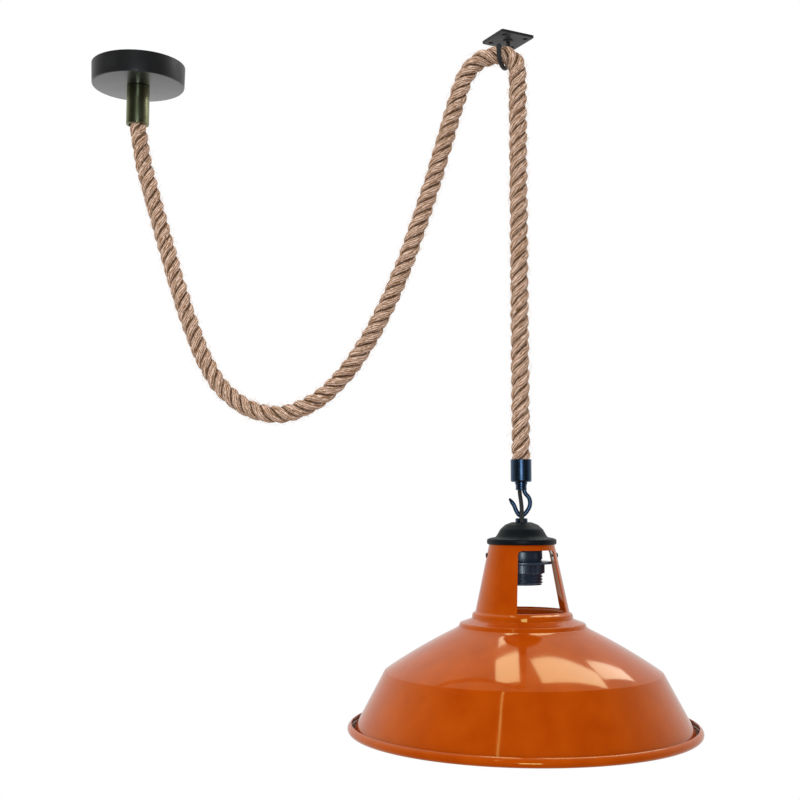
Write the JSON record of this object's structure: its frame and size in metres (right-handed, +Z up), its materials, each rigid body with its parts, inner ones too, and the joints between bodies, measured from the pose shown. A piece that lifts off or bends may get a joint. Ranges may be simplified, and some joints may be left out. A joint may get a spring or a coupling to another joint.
{
  "type": "rise and fall pendant",
  "caption": "Rise and fall pendant: a thick rope swags from a ceiling rose to a ceiling hook and drops to an enamelled metal shade that hangs from an open hook and loop.",
  "frame": {"origin": "centre of the ceiling rose, on the ceiling", "axes": "+Z up out of the ceiling; +X from the rose towards the lamp's side; +Y away from the viewer of the picture"},
  "size_m": [0.6092, 0.3304, 0.6781],
  "materials": {
    "rose_black": "satin black paint",
    "grip_black": "satin black paint",
    "fitting_black": "matt black paint",
    "gloss_black": "gloss black enamel",
    "cap_black": "matt black paint",
    "orange_enamel": "gloss orange enamel",
    "jute_rope": "twisted jute",
    "flex_black": "plain black sheath",
    "core_sleeve": "plain insulation",
    "holder_black": "moulded black",
    "insert_ceramic": "plain",
    "block_white": "moulded white",
    "zinc_plate": "zinc plated",
    "brass_thread": "plain brass",
    "shell_aluminium": "plain pressed"
  },
  "bodies": {
    "root": {"ceiling_rose": "rose_black", "mounting_bracket": "zinc_plate", "bracket_nipple": "brass_thread", "nipple_nuts": "zinc_plate", "terminal_block": "block_white", "terminal_screws": "brass_thread", "flex_tails": "core_sleeve", "supply_flex": "flex_black", "cord_grip": "grip_black", "grip_set_screw": "zinc_plate", "hook_plate": "fitting_black", "ceiling_hook": "fitting_black", "rope_swag": "jute_rope"},
    "hanger": {"rope_drop": "jute_rope", "rope_ferrule": "gloss_black", "link_ring": "gloss_black", "link_hook": "gloss_black", "link_flex": "flex_black"},
    "lamp": {"cap_loop": "gloss_black", "gallery_cap": "cap_black", "loop_nuts": "zinc_plate", "shade": "orange_enamel", "shade_carrier": "zinc_plate", "neck_screws": "fitting_black", "lampholder_cap": "holder_black", "lampholder_body": "holder_black", "socket_insert": "insert_ceramic", "socket_screws": "brass_thread", "screw_shell": "shell_aluminium", "centre_contact": "brass_thread", "shade_ring": "holder_black"}
  },
  "joints": [
    {"name": "rise_and_fall", "type": "slide", "parent": "root", "child": "hanger", "axis": [0, 0, 1], "range_m": [-0.3, 0], "deforming": ["rope_drop"]},
    {"name": "shade_swing", "type": "hinge", "parent": "hanger", "child": "lamp", "pos_m": [0.395, -0.091, -0.4759], "axis": [1, 0, 0], "range_deg": [-30, 30], "deforming": ["link_flex"]}
  ]
}
